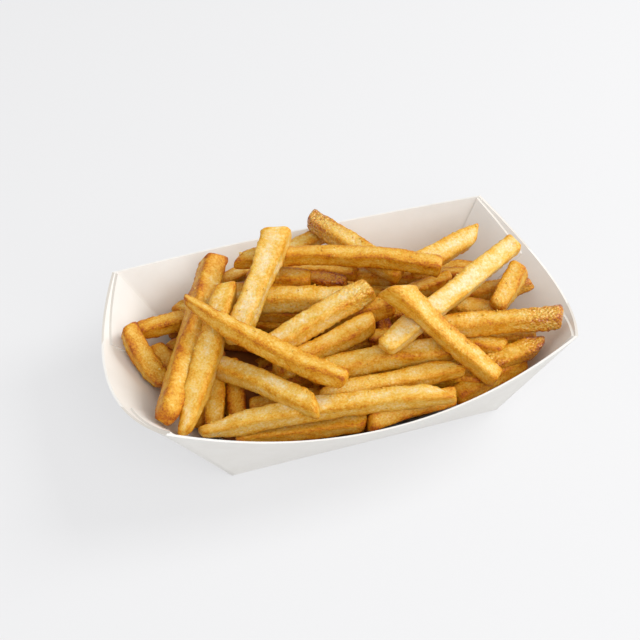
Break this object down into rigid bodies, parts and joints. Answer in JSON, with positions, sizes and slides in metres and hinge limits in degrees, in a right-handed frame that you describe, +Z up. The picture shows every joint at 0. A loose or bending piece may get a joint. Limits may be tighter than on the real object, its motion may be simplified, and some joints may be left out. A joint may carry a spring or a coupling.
{
  "type": "tray of french fries",
  "caption": "Open white paperboard food tray with flared, bowed sides, heaped with straight-cut golden french fries.",
  "frame": {"origin": "middle of the tray's flat underside", "axes": "+X along the tray's length, +Y across it, +Z up"},
  "size_m": [0.1748, 0.114, 0.0598],
  "materials": {
    "tray": "clay-coated white paperboard",
    "fries": "deep-fried potato, slightly oily"
  },
  "bodies": {
    "root": {"tray": "tray", "fries": "fries"}
  },
  "joints": []
}
